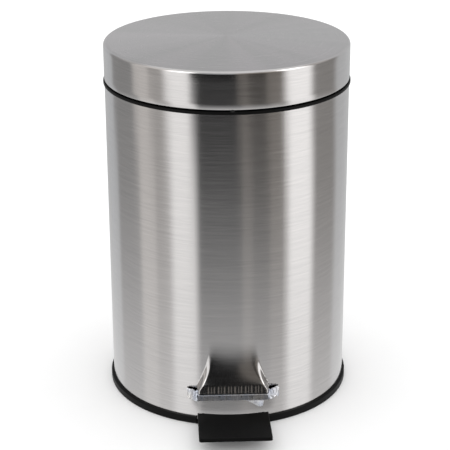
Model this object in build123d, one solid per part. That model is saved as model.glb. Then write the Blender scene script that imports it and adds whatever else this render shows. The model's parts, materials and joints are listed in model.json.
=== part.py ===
from build123d import *
import os
from math import asin, atan2, cos, degrees, pi, radians, sin, sqrt, tan

# A small round pedal bin, in millimetres. +Z is up, the pedal points along -Y, and the origin is
# on the body's axis at floor level.

# body and its sheet
BODY_R = 84.0
SHEET = 0.6
BODY_IN_R = BODY_R - SHEET
BODY_BOTTOM = 2.2
BODY_SHOWN_TOP = 222.9
BODY_TOP = 223.9

# base
BASE_R = 85.75
BASE_BOTTOM = 0.4
BASE_TOP = 5.0
FLOOR_TOP = 2.2
SNUG = 0.05
BASE_WALL_IN_R = 81.6
BASE_WALL_TOP = 12.0
FOOT_IN_R, FOOT_OUT_R, FOOT_TOP = 77.0, 81.0, 1.4
RIB_TOP = 4.8

# hood pressed out of the body over the pedal, and the slit below it
HOOD_TOP = 66.0
HOOD_CREASE = 31.4
HOOD_LIP = 25.8
HOOD_PROUD = 3.2
HOOD_SUNK = 0.3
HOOD_SHOULDER = 0.25
HOOD_HALF_TOP = 16.7
HOOD_HALF_LIP = 25.3
SLIT_BOTTOM = 21.5
SLIT_TOP = 27.3
SLIT_HALF = 31.2

# pedal lever, pivot and pad
PIVOT_Y, PIVOT_Z = -58.5, 10.2
PLATE = 1.2
CHANNEL_HALF = 6.0
WEB_BOTTOM = 5.5
BEND_Y = -73.0
PAD_FRONT = 125.0
PAD_HALF = 24.5
PAD_THICK = 2.6
PAD_TOP_BACK, PAD_TOP_FRONT = 8.5, 12.0
PAD_BACK_R = 85.2
TONGUE_HALF = 20.0
NOTCH_HALF = 21.5
NOTCH_TOP = 7.9
GATE_HALF = PAD_HALF + 1.0

# lid, its hinge and the rod that lifts it
LID_R = 84.2
LID_BOTTOM = 226.0
LID_EDGE = 251.3
LID_CROWN = 253.5
LID_FILLET = 2.5
HEM_IN_R, HEM_TOP = 82.9, 230.0
HINGE_Y, HINGE_Z = 90.0, 231.0
LID_OPEN = 75.0
ROD_Y = 79.0
ROD_R = 1.25
ROD_ARM = HINGE_Y - ROD_Y
ROD_HALF_TRAVEL = ROD_ARM * tan(radians(LID_OPEN / 2))
ROD_TOP = HINGE_Z - ROD_HALF_TRAVEL
ROD_FREE = 0.05

# ring under the lid
RING_R = 84.9
RING_TOP = 225.0
RING_IN_R = 69.8
RING_SLOT_Y = 72.4
RING_SLOT_X = (-4.0, 11.0)

# bucket and bail
BUCKET_RIM_R = 72.0
BUCKET_TOP_R, BUCKET_BOTTOM_R = 69.2, 63.5
BUCKET_WALL = 1.5
BUCKET_BOTTOM = 30.0
RIM_TOP = RING_TOP + BUCKET_WALL
BAIL_Z = 229.6
BAIL_WIRE_R = 1.25
BAIL_R = 69.8
BAIL_BEND = 2.0
EAR_SPAN = (65.6, 67.6)

# rubber buttons the lid closes on, as azimuths from the hinge
BUMPER_AT = (55.0, 180.0, 305.0)
BUMPER_R = 1.5
BUMPER_TOP = LID_BOTTOM - 0.05
BUMPER_BOTTOM = RING_TOP - 0.8

# screws and the bracket that carries the pedal
PILOT_R = 1.0
BASE_SCREW_AT = (-32.0, 32.0)
BASE_SCREW_R = 1.4
BASE_SCREW_Z = 8.6
BRACKET_SCREW_AT = [(sx * 13.6, y) for sx in (-1, 1) for y in (PIVOT_Y - 4.5, PIVOT_Y + 4.5)]
BRACKET_FOOT_Z = 5.0
SHELF_TOP = 23.8
SHELF_FRONT = -85.45
FLANGE = 1.0
FLANGE_HALF = 24.4
FLANGE_BOTTOM = 20.0
FLANGE_SAG = 0.6
EAR_END = (31.0, -79.4)
EAR_TOP = 26.5
TAB_TOP = 19.9
TAB_LEAN = 37.0
CHEEK_IN = 7.2
CHEEK_Y = (PIVOT_Y - 9.0, PIVOT_Y + 9.0)
PIN_R = 2.0
PIN_END = 11.0
TILT = (PAD_TOP_FRONT - PAD_TOP_BACK) / (PAD_FRONT - PAD_BACK_R)
LEVER_TOP = 14.0
LEVER_END = 82.6

# push rod's bent legs and its guides
ROD_LEG_LOW, ROD_LEG_HIGH = 8.6, 7.2
ROD_BEND = 2.0
GUIDE_LOW, GUIDE_HIGH = (60.0, 68.0), (190.0, 198.0)
GUIDE_HALF = 6.0

# hinge at the back, riveted to the body and to the lid
RIVET_R = 1.5
RIVET_HEAD_R = 2.4
HINGE_RIVET_AT = [(sx * 12.0, z) for sx in (-1, 1) for z in (206.0, 214.5)]
HINGE_PLATE = (BODY_R + SNUG, BODY_R + SNUG + PLATE)
HINGE_PIN_R = 1.5
BARREL_R = 3.0
EAR_X = (6.7, 8.2)
PIN_CAP_X = (8.3, 10.3)
LID_RIVET_X, LID_RIVET_Z = 8.0, 241.5
LEAF_PLATE = (LID_R + SNUG, LID_R + SNUG + PLATE)
TAB_PLATE = (LID_R - SHEET - SNUG - PLATE, LID_R - SHEET - SNUG)
LIFT_X = (3.0, 4.2)
LIFT_SLOT = (10.7, 14.1)

# how far the lever turns while the rod lifts the lid
LEVER_ARM = ROD_Y - PIVOT_Y
PEDAL_TRAVEL = degrees(asin(2 * ROD_HALF_TRAVEL / LEVER_ARM))


def block(x, y, z):
    """A box between two x, two y and two z values."""
    size = (x[1] - x[0], y[1] - y[0], z[1] - z[0])
    middle = ((x[0] + x[1]) / 2, (y[0] + y[1]) / 2, (z[0] + z[1]) / 2)
    return Pos(*middle) * Box(*size)


def disc(r, z):
    """A round plate on the bin's axis between two heights."""
    return Pos(0, 0, (z[0] + z[1]) / 2) * Cylinder(r, z[1] - z[0])


def tube(r_out, r_in, z):
    """A ring on the bin's axis between two heights."""
    return disc(r_out, z) - disc(r_in, z)


def rod_x(r, x, y, z):
    """A round bar along X between two x values."""
    return Pos((x[0] + x[1]) / 2, y, z) * Rot(0, 90, 0) * Cylinder(r, x[1] - x[0])


def side_plate(points, x):
    """A plate cut to a (y, z) outline, lying between two x values."""
    outline = Plane.YZ * make_face(Polyline(*points, close=True))
    return Pos(x[0], 0, 0) * extrude(outline, x[1] - x[0])


def mirrored(solid):
    """The solid and its mirror image across the YZ plane."""
    return solid + mirror(solid, Plane.YZ)


def around(make, angles):
    """Copies of a solid made at azimuth 0 (+Y), turned about the bin's axis."""
    return [Rot(0, 0, a) * make for a in angles]


def radial_bar(r, span, z):
    """A round bar along +Y between two distances from the axis, at a height."""
    return Pos(0, (span[0] + span[1]) / 2, z) * Rot(90, 0, 0) * Cylinder(r, span[1] - span[0])


# ---------------------------------------------------------------- body


def hood_half(z):
    """Half the hood's width at a height: nearly straight above, flaring to the lip."""
    share = (HOOD_TOP - z) / (HOOD_TOP - HOOD_LIP)
    return HOOD_HALF_TOP + (HOOD_HALF_LIP - HOOD_HALF_TOP) * share**3


def hood_share(z):
    """How far the hood has come out at a height: 0 at its top, 1 from the crease down."""
    share = min(1.0, (HOOD_TOP - z) / (HOOD_TOP - HOOD_CREASE))
    return share**3


def hood_face(z, inset):
    """The hood's horizontal section at a height, its front set in by the sheet or not."""
    r = BODY_R - inset
    half = hood_half(z) - inset
    points = []
    for i in range(-12, 13):
        t = i / 12
        x = half * t
        wall = sqrt(r * r - x * x) - HOOD_SUNK
        fade = min(1.0, (1.0 - abs(t)) / HOOD_SHOULDER)
        out = hood_share(z) * fade * fade * (3 - 2 * fade)
        points.append((x, -(wall + (r + HOOD_PROUD - wall) * out)))
    front = Spline(*points)
    back = Polyline(points[-1], (half, -70.0), (-half, -70.0), points[0])
    return Pos(0, 0, z) * make_face(Curve() + [front, back])


def hood_block(inset, lowest):
    """The hood as a filled block: a flaring part above the crease and an upright lip below."""
    heights = [HOOD_TOP - (HOOD_TOP - HOOD_CREASE) * i / 6 for i in range(7)]
    flare = loft([hood_face(z, inset) for z in heights])
    lip = loft([hood_face(HOOD_CREASE, inset), hood_face(lowest, inset)], ruled=True)
    return flare + lip


def front_slot(half, z):
    """A straight cut through the body's front wall."""
    return block((-half, half), (-95.0, -70.0), z)


def body_shell():
    wall = tube(BODY_R, BODY_IN_R, (BODY_BOTTOM, BODY_TOP))
    wall += hood_block(0.0, HOOD_LIP) - disc(BODY_IN_R, (0.0, HOOD_TOP + 1))
    wall -= hood_block(SHEET, HOOD_LIP - 1.0)
    wall -= front_slot(SLIT_HALF, (SLIT_BOTTOM, SLIT_TOP)) & disc(BODY_R + 0.5, (0.0, 40.0))
    wall -= front_slot(NOTCH_HALF, (0.0, NOTCH_TOP))
    for x, z in HINGE_RIVET_AT:
        wall -= Rot(0, 0, -degrees(asin(x / BODY_R))) * radial_bar(RIVET_R, (80.0, 90.0), z)
    for screw in around(radial_bar(BASE_SCREW_R, (80.0, 90.0), BASE_SCREW_Z), BASE_SCREW_AT):
        wall -= screw
    return wall


# ---------------------------------------------------------------- ring under the lid


def top_ring():
    ring = tube(RING_R, RING_IN_R, (RING_TOP - 1.6, RING_TOP))
    ring += tube(RING_R, BODY_R + SNUG, (BODY_SHOWN_TOP, RING_TOP))
    ring += tube(BODY_IN_R - SNUG, 82.0, (218.0, RING_TOP))
    ring += tube(RING_IN_R + 1.5, RING_IN_R, (216.0, RING_TOP))
    ring -= tube(BODY_R + SNUG, BODY_IN_R - SNUG, (RING_TOP - 2.0, BODY_TOP))
    ring = fillet(ring.edges().filter_by(GeomType.CIRCLE).group_by(SortBy.RADIUS)[-1], 0.6)
    ring -= block(RING_SLOT_X, (RING_SLOT_Y, BODY_IN_R - 0.04), (213.0, RING_TOP + 1))
    for hole in around(bumper(), BUMPER_AT):
        ring -= hole
    return ring


def bumper():
    """One rubber button, sunk into the ring."""
    height = BUMPER_TOP - BUMPER_BOTTOM
    return Pos(0, 83.2, BUMPER_BOTTOM + height / 2) * Cylinder(BUMPER_R, height)


def lid_bumpers():
    return Compound(children=around(bumper(), BUMPER_AT))


# ---------------------------------------------------------------- base


def base_tray():
    tray = disc(BASE_R, (BASE_BOTTOM, BASE_TOP))
    tray = chamfer(tray.edges().group_by(Axis.Z)[-1], 0.5)
    tray -= disc(BODY_R + SNUG, (FLOOR_TOP, BASE_TOP))
    tray += tube(BODY_IN_R - SNUG, BASE_WALL_IN_R, (FLOOR_TOP, BASE_WALL_TOP))
    tray += tube(23.5, 22.0, (FLOOR_TOP, RIB_TOP))
    for angle in range(30, 360, 30):
        if angle != 180:
            rib = block((-0.8, 0.8), (23.0, BASE_WALL_IN_R + 0.5), (FLOOR_TOP, RIB_TOP))
            tray += Rot(0, 0, angle) * rib
    boss = block((-4.0, 4.0), (74.0, BASE_WALL_IN_R + 0.5), (FLOOR_TOP, BASE_WALL_TOP))
    for screwed in around(boss, BASE_SCREW_AT):
        tray += screwed
    post_height = BRACKET_FOOT_Z - FLOOR_TOP
    for x, y in BRACKET_SCREW_AT:
        tray += Pos(x, y, FLOOR_TOP + post_height / 2) * Cylinder(3.4, post_height)
        tray -= Pos(x, y, BRACKET_FOOT_Z) * Cylinder(PILOT_R, 10.0)
    for hole in around(radial_bar(PILOT_R, (75.5, 84.5), BASE_SCREW_Z), BASE_SCREW_AT):
        tray -= hole
    tray -= block((-GATE_HALF, GATE_HALF), (-90.0, -73.0), (FLOOR_TOP - 0.1, 20.0))
    tray -= block((-11.0, 11.0), (74.0, BODY_IN_R + 1), (FLOOR_TOP, 20.0))
    tray -= tube(FOOT_OUT_R, FOOT_IN_R, (0.0, FOOT_TOP))
    return tray


def foot_ring():
    return tube(FOOT_OUT_R, FOOT_IN_R, (0.0, FOOT_TOP))


def lever_buffer():
    return block((-4.5, 4.5), (56.0, 64.0), (FLOOR_TOP, WEB_BOTTOM - 0.1))


def pan_screw(head_r, head_h, shank_r, shank):
    """A pan-head screw standing on its tip along +Z, with its seat at z = 0 and a cross recess."""
    head = Pos(0, 0, head_h / 2) * Cylinder(head_r, head_h)
    head = fillet(head.edges().group_by(Axis.Z)[-1], head_h * 0.6)
    for turn in (0, 90):
        head -= Pos(0, 0, head_h) * Rot(0, 0, turn) * Box(head_r * 1.1, 0.5, head_h)
    return head + Pos(0, 0, -shank / 2) * Cylinder(shank_r, shank)


def bracket_screws():
    screw = pan_screw(2.6, 1.4, PILOT_R, 4.8)
    return Compound(children=[Pos(x, y, BRACKET_FOOT_Z + PLATE) * screw for x, y in BRACKET_SCREW_AT])


def base_screws():
    screw = Pos(0, BODY_R + SNUG, BASE_SCREW_Z) * Rot(-90, 0, 0) * pan_screw(2.4, 1.4, PILOT_R, 6.5)
    return Compound(children=around(screw, BASE_SCREW_AT))


# ---------------------------------------------------------------- pedal bracket


def bracket_flange():
    """The part that shows in the slit: a straight flange with its two ends bent back."""
    half, low = FLANGE_HALF, FLANGE_BOTTOM
    edge = Polyline((half, low), (half, SHELF_TOP), (-half, SHELF_TOP), (-half, low))
    under = ThreePointArc((-half, low), (0, low - FLANGE_SAG), (half, low))
    front = extrude(Plane.XZ * make_face(Curve() + [edge, under]), -FLANGE)
    front = Pos(0, SHELF_FRONT, 0) * front
    dx, dy = EAR_END[0] - FLANGE_HALF, EAR_END[1] - SHELF_FRONT
    length = sqrt(dx * dx + dy * dy)
    ear = block((0, length), (0, FLANGE), (low, EAR_TOP))
    ear = Pos(FLANGE_HALF, SHELF_FRONT, 0) * Rot(0, 0, degrees(atan2(dy, dx))) * ear
    return front + mirrored(ear)


def bracket_tab():
    """The small tab below the flange, bent a little forward."""
    outline = Polyline((7.5, TAB_TOP), (17.0, 15.4), (20.0, 15.9), (21.5, TAB_TOP), close=True)
    tab = extrude(Plane.XZ * make_face(outline), -FLANGE)
    return Pos(0, SHELF_FRONT, TAB_TOP) * Rot(-TAB_LEAN, 0, 0) * Pos(0, 0, -TAB_TOP) * tab


def pedal_bracket():
    half = CHEEK_IN + PLATE
    front = (FLANGE_HALF, SHELF_FRONT + 0.5)
    shelf_points = ((-29.4, -80.3), (-front[0], front[1]), front, (29.4, -80.3))
    shelf_points += ((half, -70.0), (half, CHEEK_Y[1]), (-half, CHEEK_Y[1]), (-half, -70.0))
    shelf = Pos(0, 0, SHELF_TOP - PLATE) * extrude(make_face(Polyline(*shelf_points, close=True)), PLATE)
    cheek = block((CHEEK_IN, half), CHEEK_Y, (4.0, SHELF_TOP))
    foot_y = (CHEEK_Y[0] + 0.5, CHEEK_Y[1] - 0.5)
    foot = block((CHEEK_IN, 18.6), foot_y, (BRACKET_FOOT_Z, BRACKET_FOOT_Z + PLATE))
    bracket = shelf + mirrored(cheek + foot) + bracket_flange() + bracket_tab()
    bracket -= block((-CHEEK_IN, CHEEK_IN), (-75.0, CHEEK_Y[1] + 1), (3.0, SHELF_TOP - PLATE))
    bracket -= rod_x(PIN_R + 0.01, (-20, 20), PIVOT_Y, PIVOT_Z)
    for x, y in BRACKET_SCREW_AT:
        bracket -= Pos(x, y, BRACKET_FOOT_Z) * Cylinder(1.3, 6.0)
    return bracket


# ---------------------------------------------------------------- pedal


def blade_middle(y):
    """Height of the tongue's middle plane at a y in front of the bend."""
    return PAD_TOP_BACK - PAD_THICK / 2 + TILT * (-y - PAD_BACK_R)


def pedal_lever():
    up = PLATE / 2
    tip = -PAD_FRONT + 4.0
    tongue = side_plate(
        ((tip, blade_middle(tip) - up), (BEND_Y, blade_middle(BEND_Y) - up),
         (BEND_Y, blade_middle(BEND_Y) + up), (tip, blade_middle(tip) + up)),
        (-TONGUE_HALF, TONGUE_HALF),
    )
    step = side_plate(
        ((BEND_Y - 1, blade_middle(BEND_Y - 1) - up), (-66.0, WEB_BOTTOM),
         (-66.0, WEB_BOTTOM + PLATE), (BEND_Y - 1, blade_middle(BEND_Y - 1) + up)),
        (-CHANNEL_HALF, CHANNEL_HALF),
    )
    web = block((-CHANNEL_HALF, CHANNEL_HALF), (-66.0, 75.5), (WEB_BOTTOM, WEB_BOTTOM + PLATE))
    flange = side_plate(
        ((-67.0, WEB_BOTTOM + 0.2), (-63.0, LEVER_TOP), (-50.0, LEVER_TOP), (-40.0, 12.0), (80.0, 12.6),
         (LEVER_END, 11.4), (LEVER_END, 8.0), (77.0, WEB_BOTTOM)),
        (CHANNEL_HALF - PLATE, CHANNEL_HALF),
    )
    lever = tongue + step + web + mirrored(flange)
    lever -= rod_x(PIN_R + ROD_FREE + 0.01, (-20, 20), PIVOT_Y, PIVOT_Z)
    shift = LEVER_ARM * (1 - cos(radians(PEDAL_TRAVEL)))
    clear = ROD_R + 0.15
    slot = rod_x(clear, (0, 10), ROD_Y, PIVOT_Z) + rod_x(clear, (0, 10), ROD_Y + shift, PIVOT_Z)
    slot += block((0, 10), (ROD_Y, ROD_Y + shift), (PIVOT_Z - clear, PIVOT_Z + clear))
    return lever - slot


def pedal_pad():
    """A plastic cover slipped over the tongue; its back edge follows the body."""
    back = -PAD_BACK_R + 6.0
    side = side_plate(
        ((-PAD_FRONT, PAD_TOP_FRONT - PAD_THICK), (back, PAD_TOP_BACK - PAD_THICK - 6.0 * TILT),
         (back, PAD_TOP_BACK - 6.0 * TILT), (-PAD_FRONT, PAD_TOP_FRONT)),
        (-PAD_HALF, PAD_HALF),
    )
    upright = side.edges().filter_by(Axis.Z).group_by(Axis.Y)[0]
    pad = fillet(upright, 1.6)
    pad = fillet(pad.faces().sort_by(Axis.Z)[-1].edges(), 0.5)
    pad -= disc(PAD_BACK_R, (0.0, 20.0))
    gap = PLATE / 2 + SNUG
    tip = -PAD_FRONT + 4.0 - SNUG
    pocket = side_plate(
        ((tip, blade_middle(tip) - gap), (BEND_Y, blade_middle(BEND_Y) - gap),
         (BEND_Y, blade_middle(BEND_Y) + gap), (tip, blade_middle(tip) + gap)),
        (-TONGUE_HALF - SNUG, TONGUE_HALF + SNUG),
    )
    return pad - pocket


def pedal_pin():
    return rod_x(PIN_R, (-PIN_END, PIN_END), PIVOT_Y, PIVOT_Z)


def pin_clips():
    inner = CHEEK_IN + PLATE + 0.1
    clip = rod_x(3.2, (inner, inner + 0.8), PIVOT_Y, PIVOT_Z)
    clip -= rod_x(PIN_R, (inner - 1, inner + 2), PIVOT_Y, PIVOT_Z)
    clip -= block((inner - 1, inner + 2), (PIVOT_Y - 1.2, PIVOT_Y + 1.2), (PIVOT_Z, PIVOT_Z + 5))
    return Compound(children=[clip, mirror(clip, Plane.YZ)])


# ---------------------------------------------------------------- push rod


def push_rod():
    """A straight wire with a leg bent along +X at each end."""
    run = ((ROD_LEG_LOW, PIVOT_Z), (0, PIVOT_Z), (0, ROD_TOP), (ROD_LEG_HIGH, ROD_TOP))
    corners = [(x, ROD_Y, z) for x, z in run]
    path = FilletPolyline(*corners, radius=ROD_BEND)
    section = Plane(origin=corners[0], z_dir=(-1, 0, 0)) * Circle(ROD_R)
    return sweep(section, path=path)


def rod_clips():
    low = rod_x(2.2, (6.4, 7.4), ROD_Y, PIVOT_Z) - rod_x(ROD_R, (6.0, 8.0), ROD_Y, PIVOT_Z)
    high = rod_x(2.0, (4.7, 5.7), ROD_Y, ROD_TOP) - rod_x(ROD_R, (4.0, 6.0), ROD_Y, ROD_TOP)
    return Compound(children=[low, high])


def rod_guide(z):
    """A small plastic block on the inside of the body's back wall, bored for the rod."""
    guide = block((-GUIDE_HALF, GUIDE_HALF), (ROD_Y - 2.9, BODY_R), z)
    upright = guide.edges().filter_by(Axis.Z).group_by(Axis.Y)[0]
    guide = fillet(upright, 1.5)
    guide &= disc(BODY_IN_R - 0.02, z)
    bore = Pos(0, ROD_Y, (z[0] + z[1]) / 2) * Cylinder(ROD_R + ROD_FREE, z[1] - z[0] + 2)
    return guide - bore


# ---------------------------------------------------------------- hinge


def curved_plate(r, half, z):
    """A piece of sheet wrapped round the back, between two radii."""
    return tube(r[1], r[0], z) & block((-half, half), (60.0, 100.0), z)


def hinge_bracket():
    plate = curved_plate(HINGE_PLATE, 16.5, (202.0, 221.5))
    ear = side_plate(
        ((84.3, 204.0), (84.3, 221.5), (85.7, 223.0), (HINGE_Y - 3.2, HINGE_Z), (HINGE_Y + 3.2, HINGE_Z),
         (92.2, 222.0), (87.5, 209.0)),
        EAR_X,
    )
    ear += rod_x(3.2, EAR_X, HINGE_Y, HINGE_Z)
    bracket = plate + mirrored(ear)
    bracket -= rod_x(HINGE_PIN_R + 0.01, (-20, 20), HINGE_Y, HINGE_Z)
    for x, z in HINGE_RIVET_AT:
        bracket -= Rot(0, 0, -degrees(asin(x / BODY_R))) * radial_bar(RIVET_R, (80.0, 90.0), z)
    return bracket


def hinge_pin():
    return rod_x(HINGE_PIN_R, (-9.8, 9.8), HINGE_Y, HINGE_Z)


def hinge_pin_caps():
    cap = fillet(rod_x(2.6, PIN_CAP_X, HINGE_Y, HINGE_Z).edges().group_by(Axis.X)[-1], 0.8)
    cap -= rod_x(HINGE_PIN_R, (8.0, 9.8), HINGE_Y, HINGE_Z)
    return Compound(children=[cap, mirror(cap, Plane.YZ)])


def rivet(grip, head_r):
    """A rivet along +Y through a pair of radii, with a domed head outside and a flat one inside."""
    head = Pos(0, grip[1] + 0.5, 0) * Rot(-90, 0, 0) * Cylinder(head_r, 1.0)
    head = fillet(head.edges().group_by(Axis.Y)[-1], 0.7)
    length = grip[1] - grip[0] + 0.2
    shank = Pos(0, (grip[0] + grip[1]) / 2, 0) * Rot(90, 0, 0) * Cylinder(RIVET_R - 0.01, length)
    tail = Pos(0, grip[0] - 0.4, 0) * Rot(90, 0, 0) * Cylinder(head_r - 0.3, 0.8)
    return head + shank + tail


def hinge_rivets():
    one = rivet((BODY_IN_R - 0.1, HINGE_PLATE[1] + 0.05), RIVET_HEAD_R)
    made = [Rot(0, 0, -degrees(asin(x / BODY_R))) * Pos(0, 0, z) * one for x, z in HINGE_RIVET_AT]
    return Compound(children=made)


def lid_rivets():
    one = Pos(0, 0, LID_RIVET_Z) * rivet((TAB_PLATE[0] - 0.1, LEAF_PLATE[1] + 0.05), RIVET_HEAD_R)
    turn = degrees(asin(LID_RIVET_X / LID_R))
    return Compound(children=[Rot(0, 0, turn) * one, Rot(0, 0, -turn) * one])


def rivet_bores():
    turn = degrees(asin(LID_RIVET_X / LID_R))
    bore = radial_bar(RIVET_R, (75.0, 92.0), LID_RIVET_Z)
    return (Rot(0, 0, turn) * bore) + (Rot(0, 0, -turn) * bore)


def lid_hinge_leaf():
    plate = curved_plate(LEAF_PLATE, 12.0, (235.0, 247.5))
    tongue_half = EAR_X[0] - 0.3
    tongue = side_plate(
        ((84.35, 234.2), (84.35, 239.0), (85.4, 239.6), (HINGE_Y + 2.1, HINGE_Z + 2.1),
         (HINGE_Y - 2.1, HINGE_Z - 2.1)),
        (-tongue_half, tongue_half),
    )
    barrel = rod_x(BARREL_R, (-tongue_half, tongue_half), HINGE_Y, HINGE_Z)
    leaf = plate + (tongue - disc(LEAF_PLATE[0], (230.0, 245.0))) + barrel
    leaf -= rod_x(HINGE_PIN_R + 0.06, (-20, 20), HINGE_Y, HINGE_Z)
    return leaf - rivet_bores()


def lid_lift_tab():
    """Inside the lid: a curved foot under the rivets and a slotted finger the rod's leg runs in."""
    foot = curved_plate(TAB_PLATE, 11.5, (236.0, 247.5))
    finger = side_plate(
        ((82.9, 247.0), (79.8, 247.0), (77.8, 240.0), (74.6, 224.5), (74.9, 220.6), (77.0, 218.6),
         (80.0, 219.0), (82.2, 222.0), (82.2, 234.0), (82.9, 236.5)),
        LIFT_X,
    )
    wide = ROD_R + 0.62
    slot = block((0, 8), LIFT_SLOT, (-wide, wide))
    for end in LIFT_SLOT:
        slot += rod_x(wide, (0, 8), end, 0)
    slot = Pos(0, HINGE_Y, HINGE_Z) * Rot(180 + LID_OPEN / 2, 0, 0) * slot
    return foot + finger - slot - rivet_bores()


# ---------------------------------------------------------------- lid


def dome_face(r, bottom, edge, crown, corner):
    """Half section of the lid's outside or inside, from the axis to the skirt."""
    top_r = r - corner
    dome = RadiusArc((0, crown), (top_r, edge), (top_r * top_r + (crown - edge) ** 2) / (2 * (crown - edge)))
    bend = ThreePointArc(
        (top_r, edge),
        (r - corner * (1 - cos(radians(45))), edge - corner * (1 - sin(radians(45)))),
        (r, edge - corner),
    )
    rest = Polyline((r, edge - corner), (r, bottom), (0, bottom), (0, crown))
    return Plane.XZ * make_face(Curve() + [dome, bend, rest])


def lid_shell():
    outer = revolve(dome_face(LID_R, LID_BOTTOM, LID_EDGE, LID_CROWN, LID_FILLET), Axis.Z)
    hollow = (LID_R - SHEET, LID_BOTTOM - 1, LID_EDGE - SHEET, LID_CROWN - SHEET, LID_FILLET - SHEET)
    inner = revolve(dome_face(*hollow), Axis.Z)
    hem = tube(LID_R - 0.1, HEM_IN_R, (LID_BOTTOM, HEM_TOP))
    hem -= block((-13.0, 13.0), (60.0, 90.0), (LID_BOTTOM - 1, HEM_TOP + 1))
    return (outer - inner) + hem - rivet_bores()


# ---------------------------------------------------------------- bucket


def inner_bucket():
    bottom, top = BUCKET_BOTTOM, RIM_TOP
    outside = [(0, bottom), (BUCKET_BOTTOM_R, bottom), (BUCKET_TOP_R, RING_TOP), (BUCKET_RIM_R, RING_TOP)]
    inside = [(BUCKET_RIM_R, top), (BUCKET_TOP_R - BUCKET_WALL, top),
              (BUCKET_BOTTOM_R - BUCKET_WALL, bottom + BUCKET_WALL), (0, bottom + BUCKET_WALL)]
    half = Plane.XZ * make_face(Polyline(*outside, *inside, close=True))
    bucket = revolve(half, Axis.Z)
    ear = block(EAR_SPAN, (-5.0, 5.0), (RIM_TOP - 1.2, BAIL_Z))
    ear += block((EAR_SPAN[0], BUCKET_TOP_R + 0.3), (-5.0, 5.0), (RIM_TOP - 1.2, RIM_TOP + 0.5))
    ear += rod_x(5.0, EAR_SPAN, 0, BAIL_Z) & block((65, 69), (-6, 6), (BAIL_Z - 1, BAIL_Z + 3.2))
    bucket += mirrored(ear)
    return bucket - rod_x(BAIL_WIRE_R + ROD_FREE, (-80, 80), 0, BAIL_Z)


def bail_handle():
    """A wire half hoop lying over the bucket's rim, its ends bent in through the ears."""
    y = -BAIL_BEND
    inner = 64.8
    start = Line((inner, 0), (BAIL_R - BAIL_BEND, 0))
    s = BAIL_BEND * sin(pi / 4)
    turn = ThreePointArc((BAIL_R - BAIL_BEND, 0), (BAIL_R - BAIL_BEND + s, y + s), (BAIL_R, y))
    hoop = ThreePointArc((BAIL_R, y), (0, y - BAIL_R), (-BAIL_R, y))
    turn_back = ThreePointArc((-BAIL_R, y), (-BAIL_R + BAIL_BEND - s, y + s), (-BAIL_R + BAIL_BEND, 0))
    end = Line((-BAIL_R + BAIL_BEND, 0), (-inner, 0))
    path = Pos(0, 0, BAIL_Z) * Wire([start, turn, hoop, turn_back, end])
    section = Plane(origin=(inner, 0, BAIL_Z), z_dir=(1, 0, 0)) * Circle(BAIL_WIRE_R)
    return sweep(section, path=path)


def bail_grip():
    """A plastic sleeve on the middle of the hoop."""
    half = radians(17)
    ends = [(BAIL_R * sin(a), -BAIL_BEND - BAIL_R * cos(a)) for a in (-half, half)]
    path = Pos(0, 0, BAIL_Z) * Wire([ThreePointArc(ends[0], (0, -BAIL_BEND - BAIL_R), ends[1])])
    facing = Plane(origin=(*ends[0], BAIL_Z), z_dir=(cos(half), -sin(half), 0))
    return sweep(facing * Circle(2.8), path=path) - sweep(facing * Circle(BAIL_WIRE_R + 0.02), path=path)


PIECES = {
    "body_shell": body_shell,
    "top_ring": top_ring,
    "lid_bumpers": lid_bumpers,
    "base_tray": base_tray,
    "foot_ring": foot_ring,
    "lever_buffer": lever_buffer,
    "base_screws": base_screws,
    "pedal_bracket": pedal_bracket,
    "bracket_screws": bracket_screws,
    "pedal_lever": pedal_lever,
    "pedal_pad": pedal_pad,
    "pedal_pin": pedal_pin,
    "pin_clips": pin_clips,
    "push_rod": push_rod,
    "rod_clips": rod_clips,
    "rod_guide_lower": lambda: rod_guide(GUIDE_LOW),
    "rod_guide_upper": lambda: rod_guide(GUIDE_HIGH),
    "hinge_bracket": hinge_bracket,
    "hinge_rivets": hinge_rivets,
    "hinge_pin": hinge_pin,
    "hinge_pin_caps": hinge_pin_caps,
    "lid_shell": lid_shell,
    "lid_hinge_leaf": lid_hinge_leaf,
    "lid_lift_tab": lid_lift_tab,
    "lid_rivets": lid_rivets,
    "inner_bucket": inner_bucket,
    "bail_handle": bail_handle,
    "bail_grip": bail_grip,
}

os.makedirs("parts", exist_ok=True)
for name, make in PIECES.items():
    export_step(make(), f"parts/{name}.step")
print("rod travel mm", round(2 * ROD_HALF_TRAVEL, 3), "pedal travel deg", round(PEDAL_TRAVEL, 3))
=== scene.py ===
import json
from math import asin, atan2, cos, pi, radians, sin, sqrt

import bmesh
import bpy
from mathutils import Matrix, Vector, noise


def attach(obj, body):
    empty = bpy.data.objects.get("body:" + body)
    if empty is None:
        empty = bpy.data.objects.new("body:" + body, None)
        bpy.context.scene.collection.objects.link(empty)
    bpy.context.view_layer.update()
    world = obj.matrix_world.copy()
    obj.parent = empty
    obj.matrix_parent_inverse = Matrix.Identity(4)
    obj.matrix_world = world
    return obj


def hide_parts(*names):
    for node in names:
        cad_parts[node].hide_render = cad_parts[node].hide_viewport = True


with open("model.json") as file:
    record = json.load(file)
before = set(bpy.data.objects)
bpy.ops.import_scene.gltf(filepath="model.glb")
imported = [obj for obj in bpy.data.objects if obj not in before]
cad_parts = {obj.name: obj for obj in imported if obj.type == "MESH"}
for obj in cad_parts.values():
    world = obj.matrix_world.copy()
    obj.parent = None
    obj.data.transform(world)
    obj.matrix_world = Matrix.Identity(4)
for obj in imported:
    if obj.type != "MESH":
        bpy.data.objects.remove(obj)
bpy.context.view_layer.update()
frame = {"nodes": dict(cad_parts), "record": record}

# A small round pedal bin, with its pedal towards -Y. Shapes are in millimetres and their meshes are
# scaled to metres; the materials and the camera are in metres.
MM = 0.001

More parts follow.
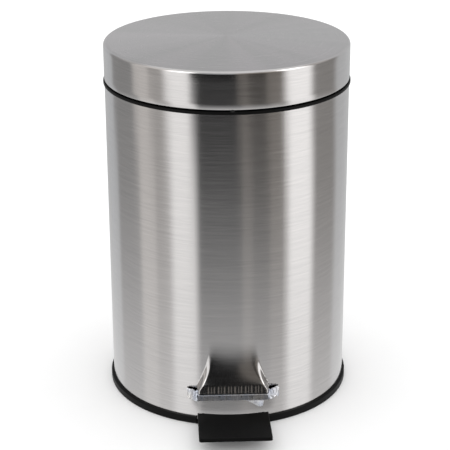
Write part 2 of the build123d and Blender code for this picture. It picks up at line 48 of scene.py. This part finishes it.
# body wall: a tube of sheet with a weld seam at the back
BODY_R, SHEET = 84.0, 0.6
BODY_BOTTOM, BODY_TOP = 2.2, 223.9
SEAM_HALF, SEAM_PROUD = 1.2, 0.12
NOTCH_HALF, NOTCH_TOP = 21.5, 7.9

# the hood pressed out of the wall: the height it starts at, the crease over its lip, the lip's end,
# and how far it stands out of the wall; it widens between the two heights of HOOD_FLARE
HOOD_FROM, HOOD_CREASE, HOOD_LIP, HOOD_PROUD = 66.0, 31.4, 25.8, 2.8
HOOD_STEEPNESS = 3.0
HOOD_FLARE, FLARE_POWER = (57.0, 28.0), 1.9
HOOD_HALF_TOP, HOOD_HALF_LIP = 16.7, 25.0
HOOD_SHOULDER_TOP, HOOD_SHOULDER_LIP = 5.5, 2.3
SHOULDER_FIRMNESS = 0.42
LIP_LEAN = 0.8
PUCKER_DEPTH = 0.035

# the slit under the hood, and the strip of wall under it that is bent a little inwards
SLIT_BOTTOM, SLIT_TOP, SLIT_HALF = 21.5, 27.3, 31.2
SLIT_PUSH, SLIT_PUSH_FROM = 0.55, 10.0

# lid
LID_R, LID_BOTTOM, LID_EDGE, LID_CROWN, LID_FILLET = 84.2, 226.0, 251.3, 253.5, 2.5
HEM_IN_R, HEM_TOP = 82.9, 230.0
HEM_GAP_HALF = 13.0

# pedal bracket: its shelf, flange, ears and tab show in the slit, its cheeks and feet are inside
SHELF_TOP, SHELF_FRONT = 23.8, -85.45
FLANGE_HALF, FLANGE_BOTTOM, FLANGE_LEAN = 24.4, 20.0, 0.5
BEND_R, FASCIA_SHEET, EASE = 1.1, 0.8, 1.8
EAR_END, EAR_TOP = (31.0, -79.4), 26.5
EAR_DENT, FLANGE_DENT = (1.4, 0.95), (1.6, 0.16)
TAB_HINGE, TAB_LEAN, TAB_SHEET = 20.2, 0.75, 0.7
CHEEK_IN, PLATE = 7.2, 1.2
CHEEK_Y = (-67.5, -49.5)
FOOT_Z, FOOT_HALF = 5.0, 18.6

# ------------------------------------------------------------------ meshes


def smoothstep(value):
    value = min(1.0, max(0.0, value))
    return value * value * (3 - 2 * value)


def steps(start, end, size):
    """Evenly spaced values from start to end, about size apart."""
    count = max(1, round(abs(end - start) / size))
    return [start + (end - start) * i / count for i in range(count + 1)]


def make_piece(name, build, body, slot, replaced, sharp=38):
    """Turns a bmesh in millimetres into a piece of the bin that rides on a body."""
    bmesh.ops.scale(build, vec=(MM, MM, MM), verts=build.verts)
    bmesh.ops.recalc_face_normals(build, faces=build.faces)
    mesh = bpy.data.meshes.new(name)
    build.to_mesh(mesh)
    build.free()
    mesh.shade_smooth()
    mesh.set_sharp_from_angle(angle=radians(sharp))
    mesh.materials.append(MATERIALS[slot])
    piece = bpy.data.objects.new(name, mesh)
    bpy.context.collection.objects.link(piece)
    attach(piece, body)
    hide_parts(*replaced)
    return piece


def add_grid(build, columns, rows, place, keep=None, closed=False):
    """Adds a sheet of quads: place gives each corner, keep says which quads are made."""
    corners = [[build.verts.new(place(c, r)) for r in rows] for c in columns]
    spans = [(i, (i + 1) % len(columns)) for i in range(len(columns) if closed else len(columns) - 1)]
    faces = []
    for i, after in spans:
        for j in range(len(rows) - 1):
            if keep is None or keep(columns[i], columns[after], (rows[j] + rows[j + 1]) / 2):
                quad = (corners[i][j], corners[after][j], corners[after][j + 1], corners[i][j + 1])
                faces.append(build.faces.new(quad))
    return faces


def drop_loose(build):
    bmesh.ops.delete(build, geom=[v for v in build.verts if not v.link_faces], context="VERTS")


def add_prism(build, outline, low, high):
    """Adds a plate with an (x, y) outline between two heights."""
    rings = [[build.verts.new((x, y, z)) for x, y in outline] for z in (low, high)]
    build.faces.new(rings[0][::-1])
    build.faces.new(rings[1])
    for i in range(len(outline)):
        after = (i + 1) % len(outline)
        build.faces.new((rings[0][i], rings[0][after], rings[1][after], rings[1][i]))


def add_block(build, x, y, z):
    add_prism(build, [(x[0], y[0]), (x[1], y[0]), (x[1], y[1]), (x[0], y[1])], z[0], z[1])


# ------------------------------------------------------------------ body wall


def hood_out(x, z):
    """How far the hood has come out of the wall at a place: 0 on the plain wall, 1 at its lip."""
    if z >= HOOD_FROM or z <= SLIT_BOTTOM:
        return 0.0
    rise = min(1.0, (HOOD_FROM - z) / (HOOD_FROM - HOOD_CREASE)) ** HOOD_STEEPNESS
    flare = min(1.0, max(0.0, (HOOD_FLARE[0] - z) / (HOOD_FLARE[0] - HOOD_FLARE[1]))) ** FLARE_POWER
    half = HOOD_HALF_TOP + (HOOD_HALF_LIP - HOOD_HALF_TOP) * flare
    shoulder = HOOD_SHOULDER_TOP + (HOOD_SHOULDER_LIP - HOOD_SHOULDER_TOP) * flare
    short = min(1.0, max(0.0, 1 - (half - abs(x)) / shoulder))
    return rise * (1 - short * short) ** (1 - SHOULDER_FIRMNESS * flare)


def lip_wrinkle(x, z):
    """Small upright puckers where the sheet was folded into the lip."""
    share = smoothstep((HOOD_CREASE - z) / 1.5) * smoothstep((HOOD_HALF_LIP - 2 - abs(x)) / 8)
    wave = sin(2 * pi * x / 2.3) + 0.7 * sin(2 * pi * x / 3.7 + 1) + 0.5 * sin(2 * pi * x / 1.7 + 2)
    return PUCKER_DEPTH * share * wave


def pushed_in(x, z):
    """How far the strip under the slit is bent inwards."""
    if z > SLIT_BOTTOM or z < SLIT_PUSH_FROM:
        return 0.0
    rise = (z - SLIT_PUSH_FROM) / (SLIT_BOTTOM - SLIT_PUSH_FROM)
    return SLIT_PUSH * rise * smoothstep((SLIT_HALF - abs(x)) / 8)


def wall_corner(turn, z):
    """A corner of the body wall; turn is the angle from the front, positive towards +X."""
    x = BODY_R * sin(turn)
    if cos(turn) < 0:
        proud = SEAM_PROUD * smoothstep(1 - abs(x) / SEAM_HALF)
        return ((BODY_R + proud) * sin(turn), -(BODY_R + proud) * cos(turn), z)
    wall = BODY_R * cos(turn)
    out = hood_out(x, z)
    lean = LIP_LEAN * min(1.0, max(0.0, (HOOD_CREASE - z) / (HOOD_CREASE - HOOD_LIP)))
    proud = (BODY_R + HOOD_PROUD + lean - wall + lip_wrinkle(x, z)) * out - pushed_in(x, z)
    return (x, -(wall + proud), z)


def wall_kept(turn, after, z):
    """False inside the pedal's notch and the slit, round the hood's lip."""
    middle = BODY_R * sin((turn + after) / 2)
    if cos(turn) < 0 or abs(middle) > SLIT_HALF:
        return True
    in_notch = abs(middle) < NOTCH_HALF and z < NOTCH_TOP
    in_slit = SLIT_BOTTOM < z < SLIT_TOP
    in_lip = abs(middle) < HOOD_HALF_LIP and z > HOOD_LIP
    return not in_notch and (not in_slit or in_lip)


def body_wall():
    marks = [HOOD_HALF_LIP, NOTCH_HALF, SLIT_HALF]
    front = [x for x in steps(-34, 34, 0.4) if min(abs(abs(x) - m) for m in marks) > 0.15]
    front = sorted(front + marks + [-m for m in marks])
    turns = [asin(x / BODY_R) for x in front]
    edge = turns[-1]
    seam = asin(SEAM_HALF / BODY_R)
    turns += steps(edge, pi - seam, radians(2))[1:]
    turns += steps(pi - seam, pi + seam, seam / 4)[1:]
    turns += steps(pi + seam, 2 * pi - edge, radians(2))[1:-1]
    rows = [BODY_BOTTOM, 2.6, 5, NOTCH_TOP] + steps(NOTCH_TOP, SLIT_BOTTOM, 1.7)[1:]
    rows += steps(SLIT_BOTTOM, HOOD_LIP, 1.1)[1:] + [SLIT_TOP]
    rows += steps(SLIT_TOP, HOOD_CREASE, 0.5)[1:] + steps(HOOD_CREASE, HOOD_FROM, 0.9)[1:]
    rows += steps(HOOD_FROM, BODY_TOP, 6.0)[1:]
    build = bmesh.new()
    faces = add_grid(build, turns, rows, wall_corner, wall_kept, closed=True)
    drop_loose(build)
    bmesh.ops.recalc_face_normals(build, faces=faces)
    bmesh.ops.solidify(build, geom=faces, thickness=SHEET)
    return make_piece("body_wall", build, "housing", "brushed_steel", ["body_shell"])


# ------------------------------------------------------------------ lid


def arc_points(middle, radius, start, end, count):
    """Points on an arc in the (radius, height) plane, angles in degrees."""
    angles = [radians(start + (end - start) * i / count) for i in range(count + 1)]
    return [(middle[0] + radius * cos(a), middle[1] + radius * sin(a)) for a in angles]


def lid_cover():
    """The spun lid: a low crown, a rounded corner, a straight skirt and an edge folded up inside."""
    def crown(r, top, edge_r):
        return top - (LID_CROWN - LID_EDGE) * (r / edge_r) ** 2

    corner_r = LID_R - LID_FILLET
    radii = [0.0, 0.6, 2, 4, 8, 14, 22, 32, 42, 52, 60, 67, 73, 78]
    outside = [(r, crown(r, LID_CROWN, corner_r)) for r in radii]
    outside += arc_points((corner_r, LID_EDGE - LID_FILLET), LID_FILLET, 90, 0, 10)
    outside += [(LID_R, z) for z in steps(LID_EDGE - LID_FILLET, LID_BOTTOM + 0.5, 4)[1:]]
    outside += arc_points((LID_R - 0.5, LID_BOTTOM + 0.5), 0.5, 0, -90, 4)[1:]
    outside += arc_points((HEM_IN_R + 0.4, LID_BOTTOM + 0.4), 0.4, -90, -180, 4)
    outside += [(HEM_IN_R, HEM_TOP - 0.3), (HEM_IN_R + 0.3, HEM_TOP)]
    inner_r = LID_R - SHEET
    inside = [(inner_r, HEM_TOP), (inner_r, HEM_TOP + 1)]
    inside += arc_points((corner_r, LID_EDGE - LID_FILLET), LID_FILLET - SHEET, 0, 90, 6)
    inside += [(r, crown(r, LID_CROWN - SHEET, corner_r)) for r in radii[::-1]]
    profile = outside + inside
    gap = asin(HEM_GAP_HALF / LID_R)

    def corner(turn, index):
        r, z = profile[index]
        if abs(turn - pi) < gap and z < HEM_TOP + 0.1 and r < inner_r:
            r = inner_r
        return (r * sin(turn), -r * cos(turn), z)

    turns = steps(0, pi - gap, radians(1.5))[:-1] + steps(pi - gap, pi + gap, radians(1.5))
    turns += steps(pi + gap, 2 * pi, radians(1.5))[1:-1]
    build = bmesh.new()
    add_grid(build, turns, list(range(len(profile))), corner, closed=True)
    bmesh.ops.remove_doubles(build, verts=build.verts, dist=0.002)
    return make_piece("lid_cover", build, "lid", "brushed_steel", ["lid_shell"])


# ------------------------------------------------------------------ pedal bracket


def crumple(place, size, amount):
    """Smooth uneven dents, the same on every run."""
    return amount * noise.noise(Vector(place) / size)


def fascia(build):
    """The bracket's bent front: level top, rounded bend, flange, and an ear folded back at each end."""
    turn = atan2(EAR_END[1] - SHELF_FRONT, EAR_END[0] - FLANGE_HALF)
    ear = sqrt((EAR_END[0] - FLANGE_HALF) ** 2 + (EAR_END[1] - SHELF_FRONT) ** 2)
    reach = FLANGE_HALF + ear
    flange_rows = 5
    profile = [(6.0, 0.0), (3.5, 0.0), (BEND_R, 0.0)]
    for angle in (22.5, 45, 67.5, 90):
        a = radians(angle)
        profile.append((BEND_R - BEND_R * sin(a), BEND_R * (1 - cos(a))))

    def corner(s, index):
        side = 1 if s > 0 else -1
        past = smoothstep((abs(s) - FLANGE_HALF + EASE / 2) / EASE)
        along = max(0.0, abs(s) - FLANGE_HALF)
        x = side * (min(abs(s), FLANGE_HALF) + along * cos(turn))
        y = SHELF_FRONT + along * sin(turn)
        out_x, out_y = side * sin(turn) * past, -1 + (1 - cos(turn)) * past
        top = SHELF_TOP + (EAR_TOP - SHELF_TOP) * past
        low = FLANGE_BOTTOM + 0.3 * sin(s * 1.3) * past
        if index < len(profile):
            back, drop = profile[index]
            back = back * (1 - past) + min(back, 0.6) * past
            z = top - drop * (1 - 0.5 * past)
        else:
            share = (index - len(profile) + 1) / flange_rows
            back, z = -FLANGE_LEAN * share, (top - BEND_R) + (low - top + BEND_R) * share
        dent = crumple((s, z * 1.5, 3.0), *EAR_DENT) * past
        dent += crumple((s * 3.0, z * 0.4, 8.0), *FLANGE_DENT) * (1 - past)
        back -= dent if back < 1.0 else 0.0
        return (x - out_x * back, y - out_y * back, z)

    faces = add_grid(build, steps(-reach, reach, 0.45), list(range(len(profile) + flange_rows)), corner)
    bmesh.ops.recalc_face_normals(build, faces=faces)
    bmesh.ops.solidify(build, geom=faces, thickness=-FASCIA_SHEET)


def tab(build):
    """A pointed tab under the flange, bent forward and a little twisted."""
    edge = [(7.5, TAB_HINGE), (12.3, 18.4), (17.0, 16.3), (18.6, 16.2), (20.0, 16.8), (21.5, TAB_HINGE)]

    def corner(along, down):
        place = along * (len(edge) - 1)
        k = min(int(place), len(edge) - 2)
        share = place - k
        x = edge[k][0] * (1 - share) + edge[k + 1][0] * share
        z = edge[k][1] * (1 - share) + edge[k + 1][1] * share
        z = TAB_HINGE + (z - TAB_HINGE) * down
        drop = TAB_HINGE - z
        lean = TAB_LEAN + 0.02 * (x - 14)
        return (x, SHELF_FRONT - 0.1 - drop * lean + crumple((x, z, 1.0), 2.5, 0.3) * down, z)

    faces = add_grid(build, steps(0, 1, 0.04), steps(0, 1, 0.12), corner)
    bmesh.ops.recalc_face_normals(build, faces=faces)
    bmesh.ops.solidify(build, geom=faces, thickness=TAB_SHEET)


def bracket_plate():
    build = bmesh.new()
    fascia(build)
    tab(build)
    half = CHEEK_IN + PLATE
    shelf = [(-30.0, -80.5), (-28.5, -81.5), (28.5, -81.5), (30.0, -80.5), (half, -70.0),
             (half, CHEEK_Y[1]), (-half, CHEEK_Y[1]), (-half, -70.0)]
    add_prism(build, shelf, SHELF_TOP - PLATE, SHELF_TOP - 0.02)
    for side in (-1, 1):
        wall = sorted((side * CHEEK_IN, side * half))
        add_block(build, wall, CHEEK_Y, (FOOT_Z - 1, SHELF_TOP - PLATE))
        foot = sorted((side * CHEEK_IN, side * FOOT_HALF))
        add_block(build, foot, (CHEEK_Y[0] + 0.5, CHEEK_Y[1] - 0.5), (FOOT_Z, FOOT_Z + PLATE))
    return make_piece("bracket_plate", build, "housing", "plated_steel", ["pedal_bracket"])


# ------------------------------------------------------------------ materials


class Nodes:
    """A small helper that adds nodes to a tree and links them."""

    def __init__(self, tree):
        self.tree = tree

    def add(self, kind, inputs=None, **settings):
        node = self.tree.nodes.new(kind)
        for key, value in settings.items():
            setattr(node, key, value)
        for key, value in (inputs or {}).items():
            if isinstance(value, bpy.types.NodeSocket):
                self.tree.links.new(value, node.inputs[key])
            else:
                node.inputs[key].default_value = value
        return node

    def math(self, operation, a, b=0.0):
        return self.add("ShaderNodeMath", {0: a, 1: b}, operation=operation).outputs[0]

    def between(self, value, low, high, start=0.0, end=1.0):
        """The value moved from one span to another, held at its ends."""
        spans = {"Value": value, "From Min": start, "From Max": end, "To Min": low, "To Max": high}
        return self.add("ShaderNodeMapRange", spans).outputs[0]

    def mix(self, share, first, second):
        return self.add("ShaderNodeMix", {0: share, 6: first, 7: second}, data_type="RGBA").outputs[2]

    def ramp(self, value, stops):
        """A colour ramp given as (position, grey) or (position, grey, warmth)."""
        node = self.add("ShaderNodeValToRGB", {"Fac": value})
        band = node.color_ramp
        while len(band.elements) < len(stops):
            band.elements.new(1.0)
        for element, (place, grey, *warmth) in zip(band.elements, stops):
            warm = warmth[0] if warmth else 0.0
            element.position = place
            element.color = (grey * (1 + warm), grey, grey * (1 - warm), 1.0)
        return node.outputs["Color"]


def new_material(name):
    made = bpy.data.materials.new(name)
    made.use_nodes = True
    made.node_tree.nodes.clear()
    return made, Nodes(made.node_tree)


def finish_material(nodes, shader):
    nodes.add("ShaderNodeOutputMaterial", {"Surface": shader.outputs[0]})


# where the brushed steel changes, in metres: each pair is where a change starts and ends
LID_TOP_Z, FRONT_Y, WALL_FOOT_Z = (0.2495, 0.2515), (-0.083, -0.075), (0.014, 0.028)


def brushed_steel(name="brushed_steel"):
    """Stainless steel brushed round the bin's axis: level lines on the walls, rings on the lid.

    The lid's top is duller, with faint lighter rays painted into its colour as a painted reflection of its
    spun brushing. The foot of the wall's front is duller too.
    """
    made, n = new_material(name)
    place = n.add("ShaderNodeTexCoord").outputs["Object"]
    x, y, z = n.add("ShaderNodeSeparateXYZ", {0: place}).outputs[:3]
    radius = n.math("SQRT", n.math("ADD", n.math("MULTIPLY", x, x), n.math("MULTIPLY", y, y)))
    round_x, round_y = n.math("DIVIDE", x, radius), n.math("DIVIDE", y, radius)
    across = n.math("ADD", radius, z)

    def lines(along, pitch, detail):
        """Noise drawn out round the axis; pitch is lines per metre across."""
        way = {0: n.math("MULTIPLY", round_x, along), 1: n.math("MULTIPLY", round_y, along),
               2: n.math("MULTIPLY", across, pitch)}
        vector = n.add("ShaderNodeCombineXYZ", way).outputs[0]
        return n.add("ShaderNodeTexNoise", {
            "Vector": vector, "Scale": 1.0, "Detail": detail, "Roughness": 0.65}).outputs["Fac"]

    fine, coarse = lines(4.0, 3400.0, 4.0), lines(2.5, 1200.0, 2.0)
    grain = n.math("ADD", n.math("MULTIPLY", fine, 0.65), n.math("MULTIPLY", coarse, 0.35))
    wide = n.add("ShaderNodeTexNoise", {"Vector": place, "Scale": 14.0, "Detail": 2.0}).outputs["Fac"]
    tint = n.mix(n.between(grain, 0.0, 1.0, 0.32, 0.68), (0.550, 0.541, 0.541, 1), (0.658, 0.643, 0.638, 1))
    rough = n.math("ADD", n.between(grain, 0.115, 0.175, 0.3, 0.7), n.math("MULTIPLY", wide, 0.02))
    top = n.between(z, 0.0, 1.0, *LID_TOP_Z)
    rough = n.math("ADD", rough, n.math("MULTIPLY", top, 0.10))
    # painted reflection: lighter, pinkish rays mixed into the lid top's colour, standing in for the
    # highlight that its spun brushing mirrors
    rays = n.add("ShaderNodeCombineXYZ", {0: round_x, 1: round_y, 2: 0.0}).outputs[0]
    painted_fan_reflection = n.add("ShaderNodeTexNoise", {"Vector": rays, "Scale": 2.2, "Detail": 3.0}).outputs["Fac"]
    painted_fan_reflection = n.math("MULTIPLY", top, n.between(painted_fan_reflection, 0.0, 1.0, 0.40, 0.64))
    tint = n.mix(painted_fan_reflection, tint, (0.660, 0.632, 0.640, 1))
    front = n.between(y, 1.0, 0.0, *FRONT_Y)
    low = n.between(z, 0.08, 0.0, *WALL_FOOT_Z)
    rough = n.math("ADD", rough, n.math("MULTIPLY", front, low))
    bump = n.add("ShaderNodeBump", {"Height": grain, "Strength": 0.018, "Distance": 0.0001}).outputs[0]
    tangent = n.add("ShaderNodeTangent", direction_type="RADIAL", axis="Z").outputs[0]
    shader = n.add("ShaderNodeBsdfPrincipled", {
        "Base Color": tint, "Metallic": 1.0, "Roughness": rough, "Anisotropic": 0.6,
        "Anisotropic Rotation": 0.25, "Normal": bump, "Tangent": tangent})
    finish_material(n, shader)
    return made


def moulded_plastic(name, grey, rough, grain, gloss=0.5):
    made, n = new_material(name)
    place = n.add("ShaderNodeTexCoord").outputs["Object"]
    fine = n.add("ShaderNodeTexNoise", {"Vector": place, "Scale": grain, "Detail": 4.0}).outputs["Fac"]
    wide = n.add("ShaderNodeTexNoise", {"Vector": place, "Scale": grain / 25, "Detail": 2.0}).outputs["Fac"]
    both = n.math("ADD", n.math("MULTIPLY", fine, 0.7), n.math("MULTIPLY", wide, 0.3))
    tint = n.ramp(both, [(0.3, grey * 0.8), (0.7, grey * 1.25)])
    roughness = n.between(both, rough - 0.07, rough + 0.07, 0.3, 0.7)
    bump = n.add("ShaderNodeBump", {"Height": fine, "Strength": 0.3, "Distance": 0.0001}).outputs[0]
    shader = n.add("ShaderNodeBsdfPrincipled", {
        "Base Color": tint, "Roughness": roughness, "Normal": bump, "Specular IOR Level": gloss})
    finish_material(n, shader)
    return made


def plated_steel(name, first, second, grain=90.0):
    """Zinc-plated steel with a faint bluish cloud and fine drawn marks."""
    made, n = new_material(name)
    place = n.add("ShaderNodeTexCoord").outputs["Object"]
    cloud = n.add("ShaderNodeTexNoise", {"Vector": place, "Scale": grain, "Detail": 5.0}).outputs["Fac"]
    drawn_out = {0: place, 1: (900.0, 900.0, 40.0)}
    stretch = n.add("ShaderNodeVectorMath", drawn_out, operation="MULTIPLY").outputs[0]
    drawn = n.add("ShaderNodeTexNoise", {"Vector": stretch, "Scale": 1.0, "Detail": 3.0}).outputs["Fac"]
    tint = n.mix(n.between(cloud, 0.0, 1.0, 0.35, 0.65), first, second)
    tint = n.mix(n.between(drawn, 0.0, 0.45, 0.45, 0.7), tint, (0.18, 0.18, 0.26, 1))
    rough = n.between(drawn, 0.24, 0.42, 0.3, 0.7)
    bump = n.add("ShaderNodeBump", {"Height": drawn, "Strength": 0.2, "Distance": 0.0002}).outputs[0]
    shader = n.add("ShaderNodeBsdfPrincipled", {
        "Base Color": tint, "Metallic": 1.0, "Roughness": rough, "Normal": bump})
    finish_material(n, shader)
    return made


MATERIALS = {
    "brushed_steel": brushed_steel(),
    "plated_steel": plated_steel("plated_steel", (0.60, 0.66, 0.78, 1), (0.86, 0.85, 0.84, 1)),
    "wire_steel": plated_steel("wire_steel", (0.58, 0.60, 0.63, 1), (0.74, 0.73, 0.72, 1)),
    "black_plastic": moulded_plastic("black_plastic", 0.003, 0.45, 900.0, 0.10),
    "pedal_plastic": moulded_plastic("pedal_plastic", 0.0025, 0.5, 1200.0, 0.10),
    "bucket_plastic": moulded_plastic("bucket_plastic", 0.02, 0.45, 500.0),
    "guide_plastic": moulded_plastic("guide_plastic", 0.7, 0.4, 500.0),
    "black_rubber": moulded_plastic("black_rubber", 0.012, 0.7, 700.0, 0.3),
}

for part in frame["record"]["subparts"]:
    node = frame["nodes"][part["node"]]
    node.data.materials.clear()
    node.data.materials.append(MATERIALS[part["material_slot"]])

# left out of mirrored rays, so that the strip of wall above the pedal stays light
for name in ("pedal_pad", "pedal_lever"):
    frame["nodes"][name].visible_glossy = False

body_wall()
lid_cover()
bracket_plate()

# ------------------------------------------------------------------ studio

# soft boxes and dark gaps that the steel mirrors: where each starts and ends, in degrees round the
# bin from its front, its glow level with the bin, its glow higher up, and how warm its light is
PANELS = [
    (-180, -154, 0.56, 0.48, -0.01), (-148, -132, 0.60, 0.55, -0.02), (-127, -96, 0.32, 0.50, 0.01),
    (-91, -76, 0.68, 0.80, 0.04), (-72, -60, 0.45, 0.80, 0.04), (-53, -34, 1.20, 2.60, 0.01),
    (-28, 10, 0.004, 0.35, -0.02), (14, 20, 0.15, 0.30, 0.10), (24, 37, 0.06, 0.25, 0.12),
    (41, 53, 0.20, 0.40, 0.10), (61, 83, 1.35, 2.60, 0.01), (91, 118, 0.30, 0.50, 0.04),
    (127, 158, 0.60, 0.60, -0.01), (164, 180, 0.56, 0.48, -0.01)]
# each edge is the elevation, in degrees, that a change starts and ends at
UPPER_EDGE = (13, 26)
FLOOR_GLOW, FLOOR_EDGE = 0.88, (-17.5, -33)
CEILING_GLOW, CEILING_EDGE = 0.9, (42, 58)
PANEL_LEAN, LEAN_EDGE = 5.5, (-18.6, -17.0)
ROOM_GLOW = 1.25


def studio_world():
    """White to the camera and for general light; the panels, floor and ceiling light the reflections."""
    world = bpy.data.worlds.new("studio")
    bpy.context.scene.world = world
    world.use_nodes = True
    world.node_tree.nodes.clear()
    n = Nodes(world.node_tree)
    way = n.add("ShaderNodeTexCoord").outputs["Generated"]
    x, y, z = n.add("ShaderNodeSeparateXYZ", {0: way}).outputs[:3]
    azimuth = n.math("ARCTAN2", x, n.math("MULTIPLY", y, -1.0))
    height = n.math("ARCSINE", z)

    def past(edge):
        span = {"Value": height, "From Min": radians(edge[0]), "From Max": radians(edge[1])}
        return n.add("ShaderNodeMapRange", span, interpolation_type="SMOOTHSTEP").outputs[0]

    leaning = n.math("MULTIPLY", past(LEAN_EDGE), radians(PANEL_LEAN))
    turn = n.between(n.math("ADD", azimuth, leaning), 0.0, 1.0, -pi, pi)

    def around(glow):
        return n.ramp(turn, [((p[end] + 180) / 360, p[glow], p[4]) for p in PANELS for end in (0, 1)])

    level, upper = around(2), around(3)
    light = n.mix(past(UPPER_EDGE), level, upper)
    ground = n.math("MULTIPLY", past(FLOOR_EDGE), FLOOR_GLOW)
    light = n.add("ShaderNodeMix", {0: 1.0, 6: light, 7: ground},
                  data_type="RGBA", blend_type="SCREEN").outputs[2]
    light = n.mix(past(CEILING_EDGE), light, (CEILING_GLOW, CEILING_GLOW, CEILING_GLOW, 1))
    mirror = n.add("ShaderNodeBackground", {"Color": light, "Strength": 1.0})
    plain = n.add("ShaderNodeBackground", {"Color": (1, 1, 1, 1), "Strength": ROOM_GLOW})
    ray = n.add("ShaderNodeLightPath").outputs["Is Glossy Ray"]
    both = n.add("ShaderNodeMixShader", {0: ray, 1: plain.outputs[0], 2: mirror.outputs[0]})
    n.add("ShaderNodeOutputWorld", {"Surface": both.outputs[0]})


def studio_floor():
    mesh = bpy.data.meshes.new("floor")
    build = bmesh.new()
    bmesh.ops.create_circle(build, cap_ends=True, radius=8.0, segments=96)
    build.to_mesh(mesh)
    build.free()
    floor = bpy.data.objects.new("floor", mesh)
    bpy.context.collection.objects.link(floor)
    made, n = new_material("floor_paper")
    grain = n.add("ShaderNodeTexNoise", {"Scale": 400.0, "Detail": 2.0})
    tint = n.ramp(grain.outputs["Fac"], [(0.0, 0.93), (1.0, 0.95)])
    finish_material(n, n.add("ShaderNodeBsdfPrincipled", {
        "Base Color": tint, "Roughness": 0.95, "Specular IOR Level": 0.0}))
    mesh.materials.append(made)
    floor.visible_glossy = False


def studio_camera():
    """Stands about a metre in front and half a metre up, a little to the left of the pedal's line."""
    distance, height, lens = 1.0094, 0.5092, 121.4
    aside, down, pan, roll = radians(-2.4), 0.3723, -0.0017, -0.0044
    data = bpy.data.cameras.new("camera")
    data.sensor_width = 36.0
    data.lens = lens
    data.clip_end = 50.0
    camera = bpy.data.objects.new("camera", data)
    bpy.context.collection.objects.link(camera)
    place = Vector((distance * sin(aside), -distance * cos(aside), height))
    look = aside - pan
    forward = Vector((-sin(look) * cos(down), cos(look) * cos(down), -sin(down)))
    right = forward.cross(Vector((0, 0, 1))).normalized()
    up = right.cross(forward)
    right, up = right * cos(roll) + up * sin(roll), up * cos(roll) - right * sin(roll)
    camera.matrix_world = Matrix((
        (right.x, up.x, -forward.x, place.x), (right.y, up.y, -forward.y, place.y),
        (right.z, up.z, -forward.z, place.z), (0, 0, 0, 1)))
    bpy.context.scene.camera = camera


studio_world()
studio_floor()
studio_camera()
bpy.context.scene.view_settings.view_transform = "Standard"
